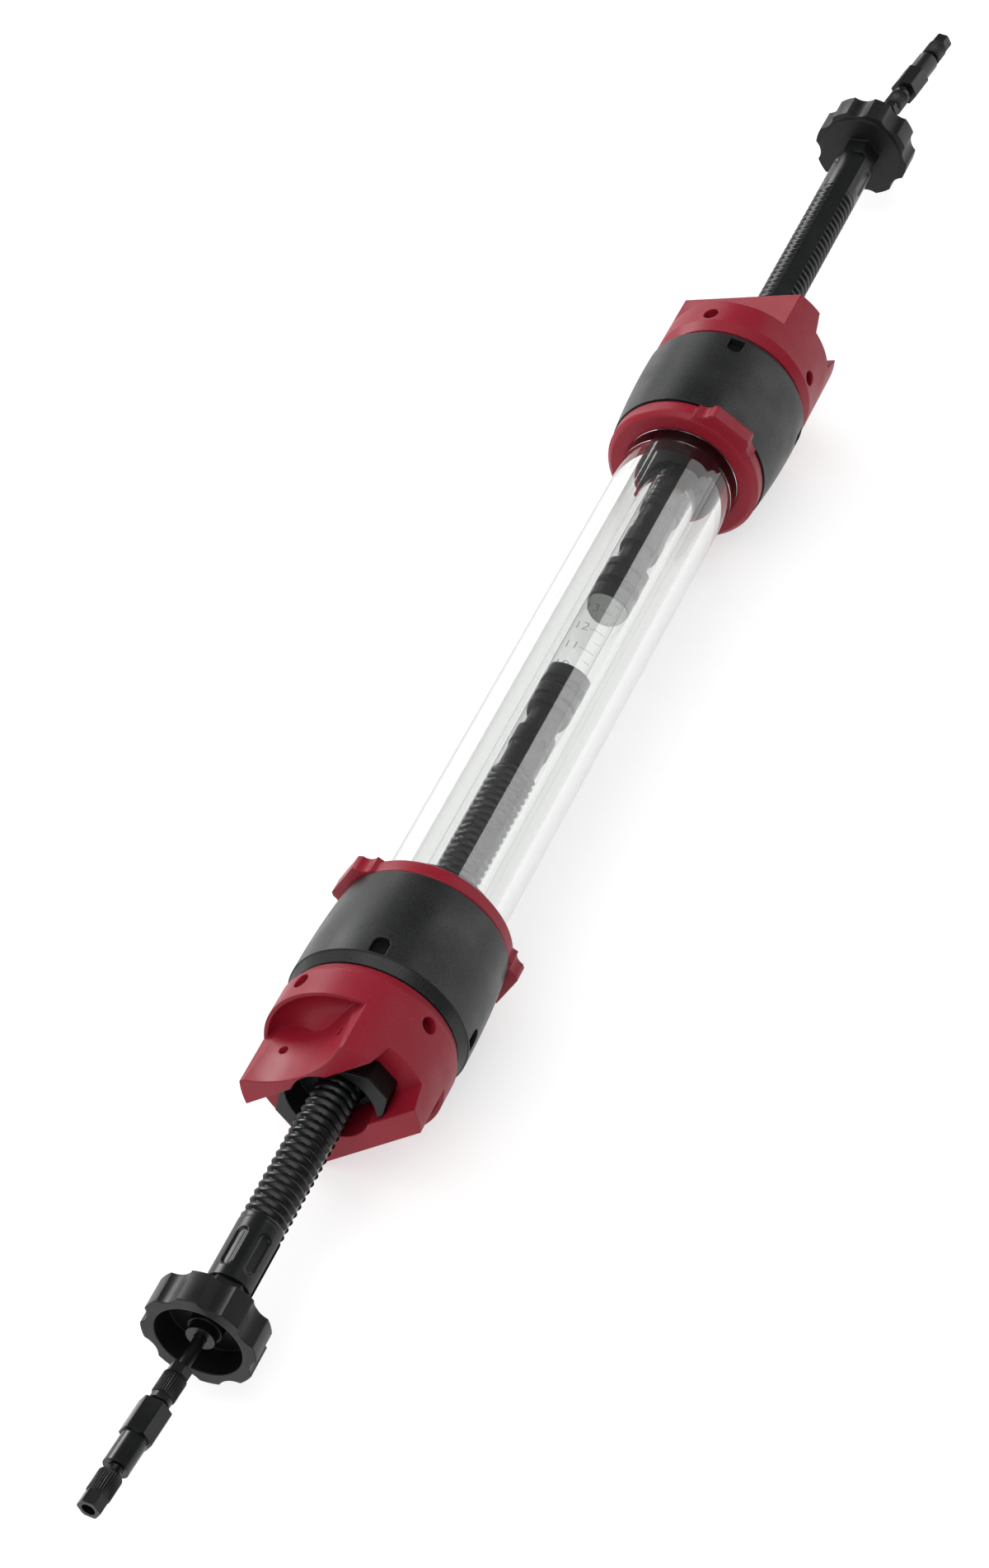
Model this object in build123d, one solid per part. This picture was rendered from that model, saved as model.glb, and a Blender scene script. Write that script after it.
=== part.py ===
from build123d import *
from math import atan2, cos, degrees, radians, sin
import os

os.makedirs("parts", exist_ok=True)

# Laboratory chromatography column, lying on the rims of its two end sleeves.
# +X runs along the column to its far end, +Z is up, all sizes are in millimetres.
# Stations along the column are distances from its middle, the same at both ends.
# Stations along an adapter are distances outward from the face of its tip.

# ---- column tube and clear jacket -------------------------------------------------
BORE_D = 16.0              # inner diameter of the glass tube
TUBE_WALL = 2.5
TUBE_PROUD = 15.0          # the glass stands this far out of the jacket at each end
JACKET_BORE_D = 32.0
JACKET_WALL = 5.2
JACKET_HALF = 141.0        # half of the clear jacket's length; both ends follow it
SEAT_GAP = 0.2             # radial gap between fixed parts that slide together
SEAT_STEP = 0.6            # the jacket's ends are turned down this much under the rings

# ---- tube holder and its seal, at each end ------------------------------------------
HOLDER_REACH = 32.0        # how far the holder's spigot reaches inside the jacket
HOLDER_LIP = 1.6           # lip that covers the end of the glass tube
SEAL_T = 2.0               # seal squeezed between the glass and the lip
SEAL_WIDTH = 1.7

# ---- winged grip ring ----------------------------------------------------------------
RING_COVER = 24.0          # length of jacket that each ring and its skirt cover
RING_T = 6.6
RING_D = 57.0
RING_EDGE = 1.8            # chamfer round the ring's face
SKIRT_T = 3.4              # skirt that carries the sleeve
SKIRT_LENGTH = 15.0
WING_TIP_R = 32.0
WING_STEP = 0.4            # the wings start this far behind the ring's face
WING_TIP_WIDTH = 17.6
WING_ROOT_WIDTH = 25.4
WING_FILLET = 4.0

# ---- barrel-shaped end sleeve -------------------------------------------------------
SLEEVE_GAP = 0.7           # between the ring and the sleeve
SLEEVE_ROOM = 6.0          # from the holder's lip to the sleeve's end
SLEEVE_RIM_D = 58.1
SLEEVE_D = 61.6            # widest diameter, on which the column lies
SLEEVE_SHOULDER = 3.6      # sloping shoulder beside the lock cap
SLEEVE_STEP = 2.2          # how far the shoulder falls
SLEEVE_LINE = 0.3          # small step at the top of the shoulder
SLEEVE_WALL_END = 5.4      # end wall that carries the lock cap
WINDOW_WIDTH = 5.6
WINDOW_LENGTH = 6.8
WINDOW_INSET = 4.2         # from the sleeve's end to the flat side of a window
WINDOW_DEPTH = 3.0
WINDOW_COUNT = 4

# ---- lock cap with two finger wings -------------------------------------------------
CAP_GAP = 0.6              # between the sleeve and the cap
CAP_LENGTH = 33.8
CAP_D = 60.6
CAP_FOOT_D = 57.2          # the cap's foot slopes in to meet the sleeve's shoulder
CAP_FOOT_T = 4.2
SPIGOT_D = 40.0            # journal of the cap in the sleeve's end wall
SPIGOT_LENGTH = 5.0
RUNNING_GAP = 0.08         # radial clearance of a turning journal
CAP_BORE_D = 26.0
LEDGE = 15.0               # from the cap's foot to the ledge under each finger flat
FLAT_OFFSET = 19.2         # from the axis to the edges of a finger flat
LEDGE_HOLLOW = 3.8         # how far the thumb's flat is hollowed at the ledge
FLAT_HOLLOW = 5.6          # and at its free edge
HOLLOW_R = 46.0
SCOOP_R = 7.5              # section of the finger scoop in the ledge
SCOOP_DEPTH = 3.8
SCOOP_RIM = 1.4            # from the cap's outside to the scoop
NOTCH_DEPTH = 8.6          # open notches between the two wings
NOTCH_WIDTH = 21.0
NOTCH_FLOOR_WIDTH = 16.0
PIN_HOLE_D = 5.6
PIN_HOLE_X = 8.0           # from the cap's foot
PIN_HOLE_DEPTH = 4.0
GATE_HOLE_D = 3.0
GATE_HOLE_SPREAD = 13.0
GATE_HOLE_X = 21.0
GATE_HOLE_DEPTH = 4.8

# ---- lock nut in the cap's pocket ---------------------------------------------------
NUT_LENGTH = 42.6          # across its pointed ends
NUT_WIDTH = 20.4
NUT_END_WIDTH = 9.0
NUT_CORNER = 14.0          # from the axis to where the end chamfers start
NUT_T = 16.0
NUT_SINK = 1.0             # from the cap's free end down to the nut
NUT_RECESS_D = 31.0        # round recess between the nut's two raised ends
NUT_RECESS_DEPTH = 9.4
POCKET_GAP = 0.15
ROD_GAP = 0.3              # radial room round the threaded rod

# ---- adapter: stations from the face of its tip -------------------------------------
FRIT_T = 1.6
FRIT_D = 14.2
TIP_D = 15.4
TIP_HEAD = 6.1             # end of the tip's head
SPINDLE_D = 9.6            # tube that carries the head through the seal
SEAL_RING_T = 3.4
SEAL_RING_D = 15.8
SQUEEZE = 0.7              # stroke of the head when the knob is turned
SQUEEZE_GAP = 0.1
PUSHER_END = 20.0
PUSHER_GROOVE = (14.8, 17.0)
PUSHER_GROOVE_D = 13.4
NECK_D = 11.6
NECK_END = 31.0
COLLAR_D = 14.2
COLLAR_END = 38.4
STEM_D = 13.2
THREAD_START = 51.8
THREAD_END = 254.0
ROD_END = 277.5
ROD_D = 15.4               # over the thread crests
ROD_BORE_D = 10.0
KEYWAY_WIDTH = 5.6
KEYWAY_DEPTH = 1.1
POCKET_LENGTH = 15.0       # long shallow pockets round the plain end of the rod
POCKET_WIDTH = 3.6
POCKET_DEPTH = 0.7
POCKET_COUNT = 6

# ---- knob -----------------------------------------------------------------------------
HEX_BOSS_T = 8.0
HEX_BOSS_AF = 13.6
KNOB_D = 37.2
KNOB_T = 12.0
KNOB_STEP_D = 32.0
KNOB_STEP_T = 0.8
CUP_D = 28.4
CUP_DEPTH = 9.5
HUB_D = 11.0
HUB_H = 5.0
SCALLOP_COUNT = 8
SCALLOP_R = 6.6
SCALLOP_DEPTH = 1.8
FACE_GAP = 0.1             # between parts that turn against each other

# ---- capillary and its fittings, at rest ---------------------------------------------
PLUNGER_D = 9.4
PLUNGER_BORE_D = 4.2
CAPILLARY_D = 3.9
BEND_START = 299.0         # station where the capillary leaves the knob
BEND_R = 60.0
CONNECTOR_START = 4.7      # along the bent end, from the bend's end
CONNECTOR_HEX_AF = 6.4
CONNECTOR_HEX_T = 3.4
CONNECTOR_D = 7.7
CONNECTOR_KNURL_T = 8.0
CONNECTOR_COLLAR_D = 6.8
CONNECTOR_COLLAR_T = 2.4
SCREW_D = 4.7
SCREW_GAP = 1.6            # exposed thread before the union
UNION_HEX_AF = 9.6
UNION_HEX_T = 12.0
UNION_D = 8.5
UNION_T = 11.4
UNION_BORE_D = 4.9
PLUG_GAP = 2.6             # exposed thread after the union
PLUG_D = 7.8
PLUG_KNURL_T = 8.0
PLUG_HEX_AF = 6.8
PLUG_HEX_T = 5.0
PLUG_HOLE_D = 4.4
PLUG_HOLE_DEPTH = 3.6
SCREW_REACH = 5.0          # how far each screw sits inside the union

# ---- placing of the two ends -----------------------------------------------------------
BED_GAP = 36.5             # between the two tip faces
BED_SHIFT = 19.2           # the gap's middle, towards the far end
FAR = {"turn": 0.0, "wing": -33.0, "window": -9.2, "cap": 199.5, "key": -12.0, "knob": 10.0, "bend": 6.0,
       "slack": 6.0}
NEAR = {"turn": 180.0, "wing": -62.3, "window": 0.0, "cap": -41.2, "key": 78.0, "knob": 14.0, "bend": 4.0,
        "slack": 0.0}

# ---- sizes that follow from the ones above ---------------------------------------------
BORE_R = BORE_D / 2
TUBE_R = BORE_R + TUBE_WALL
TUBE_HALF = JACKET_HALF + TUBE_PROUD
JACKET_BORE_R = JACKET_BORE_D / 2
JACKET_R = JACKET_BORE_R + JACKET_WALL
SEAT_R = JACKET_R - SEAT_STEP
RING_X = JACKET_HALF - RING_COVER
SKIRT_R = SEAT_R + SEAT_GAP + SKIRT_T
SLEEVE_BORE_R = SKIRT_R + SEAT_GAP
SLEEVE_X = RING_X + RING_T + SLEEVE_GAP
SLEEVE_END = TUBE_HALF + SEAL_T + HOLDER_LIP + SLEEVE_ROOM
SLEEVE_LENGTH = SLEEVE_END - SLEEVE_X
SLEEVE_SOCKET_END = SLEEVE_END - SLEEVE_WALL_END
SPIGOT_R = SPIGOT_D / 2
CAP_X = SLEEVE_END + CAP_GAP
CAP_END = CAP_X + CAP_LENGTH
LEDGE_X = CAP_X + LEDGE
NUT_TOP = CAP_END - NUT_SINK
NUT_X = NUT_TOP - NUT_T
ROD_R = ROD_D / 2
KNOB_X = ROD_END + HEX_BOSS_T
KNOB_END = KNOB_X + KNOB_T
AXIS_Z = SLEEVE_D / 2
TIP_FAR = BED_SHIFT + BED_GAP / 2
TIP_NEAR = BED_GAP / 2 - BED_SHIFT
FITTINGS_LENGTH = (CONNECTOR_START + CONNECTOR_HEX_T + CONNECTOR_KNURL_T + CONNECTOR_COLLAR_T + SCREW_GAP
                   + UNION_HEX_T + UNION_T + PLUG_GAP + PLUG_KNURL_T + PLUG_HEX_T)


def turned(*points):
    """Solid turned about the X axis from (station, radius) corners."""
    return revolve(make_face(Polyline(*points, close=True)), Axis.X)


def ring(start, end, inner_r, outer_r):
    """Plain ring about the X axis."""
    return turned((start, inner_r), (end, inner_r), (end, outer_r), (start, outer_r))


def rod(start, end, radius):
    """Plain round bar about the X axis."""
    return turned((start, 0), (end, 0), (end, radius), (start, radius))


def across(sketch, start, length):
    """Sketch of (y, z) outlines, extruded along +X from a station."""
    return extrude(Plane.YZ.offset(start) * sketch, length)


def hexagon(across_flats):
    """Hexagon outline of a given size across its flats."""
    return RegularPolygon(across_flats / 2, 6, major_radius=False)


def turned_by(part, angle):
    """Part turned about the column's axis."""
    return Rot(angle, 0, 0) * part


def around(part, count, first=0.0):
    """Copies of a part spaced evenly about the column's axis."""
    return [turned_by(part, first + 360.0 * k / count) for k in range(count)]


def side_hole(station, diameter, depth, surface_r):
    """Round hole bored towards the axis from +Z."""
    return Pos(station, 0, surface_r - depth / 2 + 1) * Cylinder(diameter / 2, depth + 2)


# ---- fixed parts ------------------------------------------------------------------------
def column_tube():
    """Glass tube that holds the packed bed."""
    return ring(-TUBE_HALF, TUBE_HALF, BORE_R, TUBE_R)


def jacket():
    """Thick clear tube round the glass."""
    return turned((-JACKET_HALF, JACKET_BORE_R), (JACKET_HALF, JACKET_BORE_R), (JACKET_HALF, SEAT_R),
                  (RING_X, SEAT_R), (RING_X, JACKET_R), (-RING_X, JACKET_R), (-RING_X, SEAT_R),
                  (-JACKET_HALF, SEAT_R))


def tube_holder():
    """Black spigot and flange that centre the glass in the jacket."""
    spigot_r = JACKET_BORE_R - SEAT_GAP
    inner_r = TUBE_R + SEAT_GAP
    lip_x = TUBE_HALF + SEAL_T
    return turned((JACKET_HALF - HOLDER_REACH, inner_r), (lip_x, inner_r), (lip_x, ROD_R + 2 * ROD_GAP),
                  (lip_x + HOLDER_LIP, ROD_R + 2 * ROD_GAP), (lip_x + HOLDER_LIP, SLEEVE_BORE_R - SEAT_GAP),
                  (JACKET_HALF, SLEEVE_BORE_R - SEAT_GAP), (JACKET_HALF, spigot_r),
                  (JACKET_HALF - HOLDER_REACH, spigot_r))


def end_seal():
    """Flat seal between the glass and the holder's lip."""
    return ring(TUBE_HALF, TUBE_HALF + SEAL_T, TUBE_R - SEAL_WIDTH, TUBE_R)


def wing_outline():
    """Wing of the grip ring, with hollow flanks that run into the ring."""
    root_z = RING_D / 2 - 1.5
    half_root, half_tip = WING_ROOT_WIDTH / 2, WING_TIP_WIDTH / 2
    flank_mid = ((half_root + half_tip) / 2 - WING_FILLET * 0.35, (root_z + WING_TIP_R) / 2 - 0.6)
    right = ThreePointArc((half_root, root_z), flank_mid, (half_tip, WING_TIP_R - 1.2))
    left = mirror(right, Plane.YZ)
    corner_r = Polyline((half_tip, WING_TIP_R - 1.2), (half_tip - 1.2, WING_TIP_R),
                        (1.2 - half_tip, WING_TIP_R), (-half_tip, WING_TIP_R - 1.2))
    foot = Polyline((-half_root, root_z), (-half_root, root_z - 3), (half_root, root_z - 3),
                    (half_root, root_z))
    return make_face([*right.edges(), *left.edges(), *corner_r.edges(), *foot.edges()])


def grip_ring():
    """Red ring with two wings and the skirt that the sleeve sits on."""
    inner_r = SEAT_R + SEAT_GAP
    outer_r = RING_D / 2
    end = RING_X + RING_T
    body = turned((RING_X, inner_r + 0.6), (RING_X, outer_r - RING_EDGE), (RING_X + RING_EDGE, outer_r),
                  (end, outer_r), (end, SKIRT_R), (end + SKIRT_LENGTH, SKIRT_R),
                  (end + SKIRT_LENGTH, inner_r), (RING_X + 0.6, inner_r))
    wing = across(wing_outline(), RING_X + WING_STEP, RING_T - WING_STEP)
    return body + around(wing, 2)


def sleeve_window():
    """D-shaped window: flat towards the cap, round towards the tube."""
    flat_x = SLEEVE_END - WINDOW_INSET
    half = WINDOW_WIDTH / 2
    outline = make_face([*Polyline((flat_x - WINDOW_LENGTH + half, half), (flat_x, half), (flat_x, -half),
                                   (flat_x - WINDOW_LENGTH + half, -half)).edges(),
                         *ThreePointArc((flat_x - WINDOW_LENGTH + half, -half),
                                        (flat_x - WINDOW_LENGTH, 0),
                                        (flat_x - WINDOW_LENGTH + half, half)).edges()])
    return extrude(Plane.XY.offset(SLEEVE_D / 2 - WINDOW_DEPTH) * outline, WINDOW_DEPTH + 5)


def end_sleeve():
    """Black barrel-shaped sleeve with four windows."""
    rim_r, wide_r = SLEEVE_RIM_D / 2, SLEEVE_D / 2
    shoulder_x = SLEEVE_END - SLEEVE_SHOULDER
    barrel = ThreePointArc((SLEEVE_X, rim_r), (SLEEVE_X + 0.42 * SLEEVE_LENGTH, rim_r + 0.78 * (wide_r - rim_r)),
                           (shoulder_x - 3, wide_r))
    socket_r = SLEEVE_BORE_R
    rest = Polyline((shoulder_x - 3, wide_r), (shoulder_x, wide_r), (shoulder_x, wide_r - SLEEVE_LINE),
                    (SLEEVE_END, wide_r - SLEEVE_STEP), (SLEEVE_END, SPIGOT_R + RUNNING_GAP),
                    (SLEEVE_SOCKET_END, SPIGOT_R + RUNNING_GAP), (SLEEVE_SOCKET_END, socket_r),
                    (SLEEVE_X, socket_r), (SLEEVE_X, rim_r))
    body = revolve(make_face([*barrel.edges(), *rest.edges()]), Axis.X)
    return body - around(sleeve_window(), WINDOW_COUNT)


# ---- lock cap and nut -----------------------------------------------------------------
def nut_outline(grow=0.0):
    """Long nut with flat sides and chamfered ends, its length along Y."""
    end_y, corner_y = NUT_LENGTH / 2 + grow, NUT_CORNER + grow
    end_z, side_z = NUT_END_WIDTH / 2 + grow / 2, NUT_WIDTH / 2 + grow
    return Polygon((end_y, -end_z), (end_y, end_z), (corner_y, side_z), (-corner_y, side_z), (-end_y, end_z),
                   (-end_y, -end_z), (-corner_y, -side_z), (corner_y, -side_z), align=None)


def finger_cut(hollow_at_ledge, hollow_at_end):
    """Cutter for one finger flat on the +Z side, hollowed or straight, and the scoop in its ledge."""
    length = CAP_END - LEDGE_X
    above = Pos(LEDGE_X, 0, FLAT_OFFSET + CAP_D) * Box(4 * length, 2 * CAP_D, 2 * CAP_D)
    if hollow_at_end > 0:
        lean = degrees(atan2(hollow_at_end - hollow_at_ledge, length))
        above += (Pos(LEDGE_X, 0, FLAT_OFFSET - hollow_at_ledge) * Rot(0, lean, 0) * Pos(0, 0, HOLLOW_R)
                  * Rot(0, 90, 0) * Cylinder(HOLLOW_R, 4 * length))
    scoop_r = CAP_D / 2 - SCOOP_RIM - (SCOOP_R ** 2 - (SCOOP_R - SCOOP_DEPTH) ** 2) ** 0.5
    scoop = revolve(Pos(LEDGE_X + SCOOP_R - SCOOP_DEPTH, scoop_r) * Circle(SCOOP_R), Axis.X)
    scoop &= Pos(LEDGE_X - CAP_D, 0, 0) * Box(2 * CAP_D, 4 * CAP_D, 4 * CAP_D)
    beyond = Pos(LEDGE_X + CAP_D, 0, 0) * Box(2 * CAP_D, 4 * CAP_D, 4 * CAP_D)
    return (above & beyond) + (above & scoop)


def notch():
    """Cutter for the open notches, which run across the cap along Y."""
    floor_x = CAP_END - NOTCH_DEPTH
    outline = Polygon((floor_x, NOTCH_FLOOR_WIDTH / 2), (floor_x, -NOTCH_FLOOR_WIDTH / 2),
                      (CAP_END + 1, -NOTCH_WIDTH / 2 - 0.35), (CAP_END + 1, NOTCH_WIDTH / 2 + 0.35), align=None)
    return extrude(Plane.XZ * outline, CAP_D, both=True)


def lock_cap():
    """Red quarter-turn cap: pin holes, two finger wings, two notches and the nut's pocket."""
    body = turned((CAP_X - SPIGOT_LENGTH, CAP_BORE_D / 2), (CAP_X - SPIGOT_LENGTH, SPIGOT_R),
                  (CAP_X, SPIGOT_R), (CAP_X, CAP_FOOT_D / 2), (CAP_X + CAP_FOOT_T, CAP_D / 2),
                  (CAP_END, CAP_D / 2), (CAP_END, CAP_BORE_D / 2))
    body -= finger_cut(LEDGE_HOLLOW, FLAT_HOLLOW)
    body -= turned_by(finger_cut(0, 0), 180)
    body -= notch()
    body -= across(nut_outline(POCKET_GAP), NUT_X, 2 * NUT_T)
    body -= around(side_hole(CAP_X + PIN_HOLE_X, PIN_HOLE_D, PIN_HOLE_DEPTH, CAP_D / 2), 4)
    for spread in (-GATE_HOLE_SPREAD, GATE_HOLE_SPREAD):
        gate = Pos(0, spread, 0) * side_hole(CAP_X + GATE_HOLE_X, GATE_HOLE_D, GATE_HOLE_DEPTH, FLAT_OFFSET)
        body -= around(gate, 2)
    return body


def lock_nut():
    """Black nut that grips the rod, seated in the cap's pocket."""
    body = across(nut_outline(), NUT_X, NUT_T)
    body -= rod(NUT_TOP - NUT_RECESS_DEPTH, NUT_TOP + 1, NUT_RECESS_D / 2)
    return body - rod(NUT_X - 1, NUT_TOP + 2, ROD_R + ROD_GAP)


# ---- adapter, from its tip face outward --------------------------------------------------
def bed_support():
    """Pale porous disc on the tip's face."""
    return rod(0, FRIT_T, FRIT_D / 2)


def tip_head():
    """Head of the tip, with a seat for the disc."""
    head_r = TIP_D / 2
    return turned((FRIT_T, 0), (FRIT_T, FRIT_D / 2 + 0.05), (0.3, FRIT_D / 2 + 0.05), (0.3, head_r - 0.3),
                  (0.6, head_r), (TIP_HEAD, head_r), (TIP_HEAD, 0))


def seal_ring():
    """Rubber ring round the spindle, squeezed against the bore."""
    start = TIP_HEAD + SQUEEZE + SQUEEZE_GAP
    end = start + SEAL_RING_T
    edge = 0.8
    outer_r, inner_r = SEAL_RING_D / 2, SPINDLE_D / 2 + 0.05
    return turned((start, inner_r), (end, inner_r), (end, outer_r - edge), (end - edge, outer_r),
                  (start + edge, outer_r), (start, outer_r - edge))


def plunger():
    """Inner tube from the tip's head to the knob."""
    return ring(TIP_HEAD, BEND_START - 3, PLUNGER_BORE_D / 2, PLUNGER_D / 2)


def seal_pusher():
    """Grooved sleeve behind the seal, its neck and its collar."""
    start = TIP_HEAD + SQUEEZE + SQUEEZE_GAP + SEAL_RING_T
    bore_r = SPINDLE_D / 2 + 0.05
    tip_r, groove_r = TIP_D / 2, PUSHER_GROOVE_D / 2
    groove_start, groove_end = PUSHER_GROOVE
    return turned((start, bore_r), (start, tip_r), (groove_start, tip_r), (groove_start, groove_r),
                  (groove_end, groove_r), (groove_end, tip_r), (PUSHER_END, tip_r), (PUSHER_END, NECK_D / 2),
                  (NECK_END, NECK_D / 2), (NECK_END, COLLAR_D / 2), (COLLAR_END, COLLAR_D / 2),
                  (COLLAR_END, bore_r))


def keyway():
    """Cutter for the flat groove along the rod."""
    depth_z = ROD_R - KEYWAY_DEPTH
    length = ROD_END - THREAD_START
    return Pos(THREAD_START + length / 2, 0, depth_z + 5) * Box(length + 2, KEYWAY_WIDTH, 10)


def grip_pocket():
    """Cutter for one long shallow pocket near the rod's plain end."""
    mid = (THREAD_END + ROD_END) / 2
    outline = Pos(mid, 0) * SlotOverall(POCKET_LENGTH, POCKET_WIDTH)
    return extrude(Plane.XY.offset(ROD_R - POCKET_DEPTH) * outline, 5)


def adapter_rod():
    """Long rod with two keyways and a plain end with grip pockets."""
    bore_r = ROD_BORE_D / 2
    body = turned((COLLAR_END, bore_r), (COLLAR_END, STEM_D / 2), (THREAD_START, STEM_D / 2),
                  (THREAD_START, ROD_R - 0.6), (THREAD_START + 0.6, ROD_R), (ROD_END - 0.5, ROD_R),
                  (ROD_END, ROD_R - 0.5), (ROD_END, bore_r))
    body -= around(keyway(), 2)
    pockets = around(grip_pocket(), POCKET_COUNT, 180.0 / POCKET_COUNT)
    return body - pockets


def knob():
    """Scalloped cup-shaped knob with a hexagonal boss."""
    bore_r = PLUNGER_D / 2 + FACE_GAP
    outline = Circle(KNOB_D / 2)
    centre_r = KNOB_D / 2 - SCALLOP_DEPTH + SCALLOP_R
    outline -= [Rot(0, 0, 360.0 * k / SCALLOP_COUNT) * Pos(0, centre_r) * Circle(SCALLOP_R)
                for k in range(SCALLOP_COUNT)]
    rim = across(outline, KNOB_X + KNOB_STEP_T, KNOB_T - KNOB_STEP_T)
    rim += rod(KNOB_X, KNOB_X + KNOB_STEP_T, KNOB_STEP_D / 2)
    rim += across(hexagon(HEX_BOSS_AF), ROD_END + FACE_GAP, HEX_BOSS_T)
    rim -= rod(KNOB_END - CUP_DEPTH, KNOB_END + 1, CUP_D / 2)
    rim += rod(KNOB_END - CUP_DEPTH, KNOB_END - CUP_DEPTH + HUB_H, HUB_D / 2)
    return rim - rod(ROD_END - 1, KNOB_END + 1, bore_r)


# ---- capillary and fittings: own frame, from the end of the bend along +X -----------------
def capillary(bend, slack):
    """Stiff capillary: straight in the plunger, one gentle bend, straight into the connector."""
    turn = radians(bend)
    start = (TIP_HEAD + 2, 0)
    corner = (BEND_START, 0)
    end = (BEND_START + BEND_R * sin(turn), -BEND_R * (1 - cos(turn)))
    run = slack + CONNECTOR_START + CONNECTOR_HEX_T + CONNECTOR_KNURL_T
    tail = (end[0] + run * cos(turn), end[1] - run * sin(turn))
    middle = (BEND_START + BEND_R * sin(turn / 2), -BEND_R * (1 - cos(turn / 2)))
    route = Line(start, corner) + ThreePointArc(corner, middle, end) + Line(end, tail)
    section = Plane(origin=(start[0], start[1], 0), z_dir=(1, 0, 0)) * Circle(CAPILLARY_D / 2)
    return sweep(section, path=route)


def connector():
    """Finger-tight nut: hexagon, knurled body, collar and screw."""
    start = CONNECTOR_START
    knurl = start + CONNECTOR_HEX_T
    collar = knurl + CONNECTOR_KNURL_T
    end = collar + CONNECTOR_COLLAR_T
    body = across(hexagon(CONNECTOR_HEX_AF), start, CONNECTOR_HEX_T)
    body += rod(knurl, collar, CONNECTOR_D / 2)
    body += rod(collar, end, CONNECTOR_COLLAR_D / 2)
    body += rod(end, end + SCREW_GAP + SCREW_REACH, SCREW_D / 2)
    return body - rod(start - 1, collar, CAPILLARY_D / 2 + 0.05)


def union_start():
    """Station of the union's first face."""
    return (CONNECTOR_START + CONNECTOR_HEX_T + CONNECTOR_KNURL_T + CONNECTOR_COLLAR_T + SCREW_GAP)


def union():
    """Union that joins the capillary to whatever is screwed on behind."""
    start = union_start()
    body = across(hexagon(UNION_HEX_AF), start, UNION_HEX_T)
    body &= rod(start, start + UNION_HEX_T, UNION_HEX_AF / 2 * 1.12)
    body += rod(start + UNION_HEX_T, start + UNION_HEX_T + UNION_T, UNION_D / 2)
    return body - rod(start - 1, start + UNION_HEX_T + UNION_T + 1, UNION_BORE_D / 2)


def stop_plug():
    """Plug that closes the union: screw, knurled body and hollow hexagon."""
    start = union_start() + UNION_HEX_T + UNION_T + PLUG_GAP
    knurl_end = start + PLUG_KNURL_T
    end = knurl_end + PLUG_HEX_T
    body = rod(start - PLUG_GAP - SCREW_REACH, start, SCREW_D / 2)
    body += rod(start, knurl_end, PLUG_D / 2)
    body += across(hexagon(PLUG_HEX_AF), knurl_end, PLUG_HEX_T)
    return body - rod(end - PLUG_HOLE_DEPTH, end + 1, PLUG_HOLE_D / 2)


def fitted(part, bend, slack):
    """Fitting carried to the end of the bent capillary."""
    turn = radians(bend)
    return Pos(BEND_START + BEND_R * sin(turn), -BEND_R * (1 - cos(turn)), 0) * Rot(0, 0, -bend) * Pos(slack) * part


# ---- assembly ---------------------------------------------------------------------------
FAR_END = TIP_FAR + BEND_START + (FITTINGS_LENGTH + FAR["slack"]) * cos(radians(FAR["bend"])) \
    + BEND_R * sin(radians(FAR["bend"]))
NEAR_END = TIP_NEAR + BEND_START + (FITTINGS_LENGTH + NEAR["slack"]) * cos(radians(NEAR["bend"])) \
    + BEND_R * sin(radians(NEAR["bend"]))
CENTRE_X = (FAR_END - NEAR_END) / 2


def placed(part, end):
    """Part of an end assembly, set into the column's frame."""
    return Pos(-CENTRE_X, 0, AXIS_Z) * Rot(0, 0, end["turn"]) * part


def end_parts(end, tip_x):
    """Every node of one end, by name."""
    adapter = Pos(tip_x)
    bend, slack = end["bend"], end["slack"]
    return {
        "tube_holder": tube_holder(),
        "end_seal": end_seal(),
        "grip_ring": turned_by(grip_ring(), -end["wing"]),
        "end_sleeve": turned_by(end_sleeve(), -end["window"]),
        "lock_cap": turned_by(lock_cap(), -end["cap"]),
        "lock_nut": turned_by(lock_nut(), -end["cap"]),
        "bed_support": adapter * bed_support(),
        "tip_head": adapter * tip_head(),
        "seal_ring": adapter * seal_ring(),
        "seal_pusher": adapter * seal_pusher(),
        "plunger": adapter * plunger(),
        "adapter_rod": adapter * turned_by(adapter_rod(), -end["key"]),
        "knob": adapter * turned_by(knob(), -end["knob"]),
        "capillary": adapter * capillary(bend, slack),
        "connector": adapter * fitted(connector(), bend, slack),
        "union": adapter * fitted(union(), bend, slack),
        "stop_plug": adapter * fitted(stop_plug(), bend, slack),
    }


column = {"column_tube": column_tube(), "jacket": jacket()}
nodes = {name: Pos(-CENTRE_X, 0, AXIS_Z) * part for name, part in column.items()}
for side, end, tip_x in (("far", FAR, TIP_FAR), ("near", NEAR, TIP_NEAR)):
    for name, part in end_parts(end, tip_x).items():
        nodes[f"{name}_{side}"] = placed(part, end)

for name, part in nodes.items():
    part.label = name
    export_step(part, f"parts/{name}.step")

print("axis height", AXIS_Z, "column middle at x", -CENTRE_X)
print("tip faces at x", TIP_FAR - CENTRE_X, -TIP_NEAR - CENTRE_X)
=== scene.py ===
"""Chromatography column: finishes, threads, knurls, printed scale and a plain studio.

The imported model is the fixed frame, and everything here is built round it. The classes are the column's
sub-assemblies and its finishes. Sizes are in millimetres, and `metres` turns them into Blender's unit.
Angles about the column are in degrees, measured from straight up (+Z) towards +Y. Stations on a rod run
outwards from its inner end.
"""
from __future__ import annotations

import logging
import math
from dataclasses import dataclass, field
from enum import Enum
from typing import Iterable, Sequence

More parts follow.
